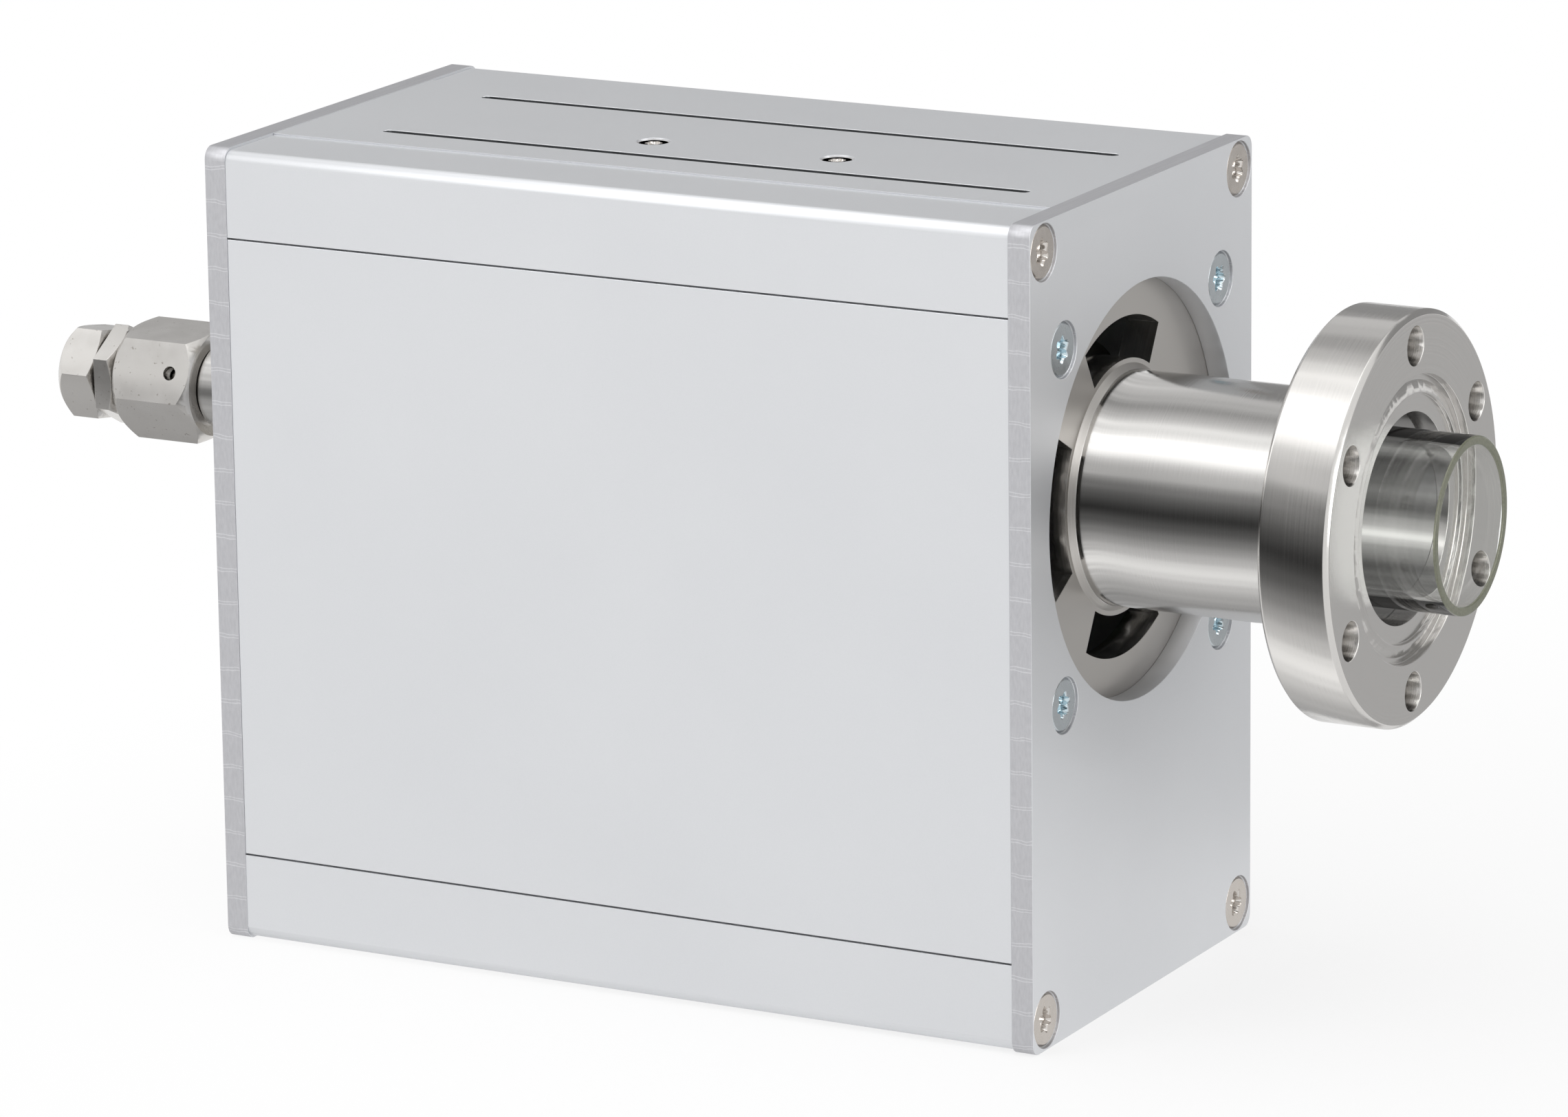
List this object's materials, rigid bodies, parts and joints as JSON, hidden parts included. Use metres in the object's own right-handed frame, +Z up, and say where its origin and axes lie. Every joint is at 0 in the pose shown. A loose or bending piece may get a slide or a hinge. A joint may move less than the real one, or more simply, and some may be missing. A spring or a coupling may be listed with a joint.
{
  "type": "remote plasma source",
  "caption": "Box-shaped remote plasma source: quartz discharge tube through a vented flange to a knife-edge vacuum flange, with tuner, coil, fan, connectors and gas inlet.",
  "frame": {"origin": "centre of the vacuum flange's face", "axes": "+X out of the vacuum flange along the tube's axis, +Z up"},
  "size_m": [0.2713, 0.0852, 0.1407],
  "materials": {
    "anodised_aluminium": "bead-blasted and clear anodised, satin",
    "turned_stainless": "turned stainless steel",
    "fitting_stainless": "drawn hexagon stainless steel, satin",
    "corner_screw_steel": "stainless screws",
    "zinc_plated_steel": "bright zinc plate with a blue tint",
    "quartz": "clear fused quartz, fire polished",
    "seal_rubber": "black fluoroelastomer",
    "silver_gasket": "silver-plated nickel",
    "copper": "bare copper strip",
    "white_insulator": "white PTFE and ceramic",
    "sheet_metal": "plain aluminium sheet",
    "capacitor_metal": "plain aluminium and brass",
    "motor_black": "black laminations and end caps",
    "shaft_steel": "ground steel",
    "coupler_aluminium": "turned aluminium",
    "circuit_board": "green solder mask",
    "component_black": "black moulded plastic",
    "connector_nickel": "nickel plate",
    "jack_core": "PTFE insulator with a gold-plated contact",
    "fan_plastic": "black moulded plastic",
    "guard_steel": "nickel-plated sheet"
  },
  "bodies": {
    "housing": {"board_components": "component_black", "board_spacers": "shaft_steel", "bottom_screws": "corner_screw_steel", "bottom_shell": "anodised_aluminium", "bracket_nuts": "shaft_steel", "capacitor_posts": "white_insulator", "cf_flange": "turned_stainless", "chassis_bracket": "sheet_metal", "coil_saddles": "white_insulator", "connector_posts": "connector_nickel", "control_board": "circuit_board", "control_connector": "connector_nickel", "fan_frame": "fan_plastic", "fan_guard": "guard_steel", "fan_screws": "corner_screw_steel", "ferrules": "fitting_stainless", "flange_corner_screws": "corner_screw_steel", "flange_end_plate": "anodised_aluminium", "front_panel": "anodised_aluminium", "front_seal_nut": "turned_stainless", "front_sealing_ring": "seal_rubber", "gas_corner_screws": "corner_screw_steel", "gas_end_plate": "anodised_aluminium", "load_frame": "capacitor_metal", "load_motor": "motor_black", "load_stator": "capacitor_metal", "load_strap": "copper", "motor_screws": "corner_screw_steel", "nipple_tube": "turned_stainless", "quartz_tube": "quartz", "rear_cap": "turned_stainless", "rear_cap_screws": "corner_screw_steel", "rear_panel": "anodised_aluminium", "rear_seal_nut": "turned_stainless", "rear_sealing_ring": "seal_rubber", "rf_coil": "copper", "rf_jack": "connector_nickel", "rf_jack_core": "jack_core", "rf_jack_screws": "corner_screw_steel", "support_flange": "turned_stainless", "support_flange_screws": "zinc_plated_steel", "top_screws": "corner_screw_steel", "top_shell": "anodised_aluminium", "tune_frame": "capacitor_metal", "tune_motor": "motor_black", "tune_stator": "capacitor_metal", "tune_strap": "copper", "tuner_tray": "sheet_metal", "union_body": "fitting_stainless", "union_gasket": "silver_gasket"},
    "fan_rotor": {"fan_rotor": "fan_plastic"},
    "tune_shaft": {"tune_rotor": "capacitor_metal", "tune_coupler": "coupler_aluminium", "tune_motor_shaft": "shaft_steel"},
    "load_shaft": {"load_rotor": "capacitor_metal", "load_coupler": "coupler_aluminium", "load_motor_shaft": "shaft_steel"},
    "union_nut": {"union_nut": "fitting_stainless"},
    "tube_nut": {"tube_nut": "fitting_stainless"}
  },
  "joints": [
    {"name": "fan_spin", "type": "hinge", "parent": "housing", "child": "fan_rotor", "pos_m": [-0.1975, 0, -0.056], "axis": [1, 0, 0], "continuous": true},
    {"name": "tune_turn", "type": "hinge", "parent": "housing", "child": "tune_shaft", "pos_m": [-0.103, 0.019, -0.052], "axis": [1, 0, 0], "range_deg": [0, 180]},
    {"name": "load_turn", "type": "hinge", "parent": "housing", "child": "load_shaft", "pos_m": [-0.103, -0.019, -0.052], "axis": [1, 0, 0], "range_deg": [0, 180]},
    {"name": "union_nut_turn", "type": "hinge", "parent": "housing", "child": "union_nut", "pos_m": [-0.2407, 0, 0], "axis": [1, 0, 0], "range_deg": [0, 45]},
    {"name": "tube_nut_turn", "type": "hinge", "parent": "housing", "child": "tube_nut", "pos_m": [-0.2575, 0, 0], "axis": [1, 0, 0], "range_deg": [-90, 0]}
  ]
}
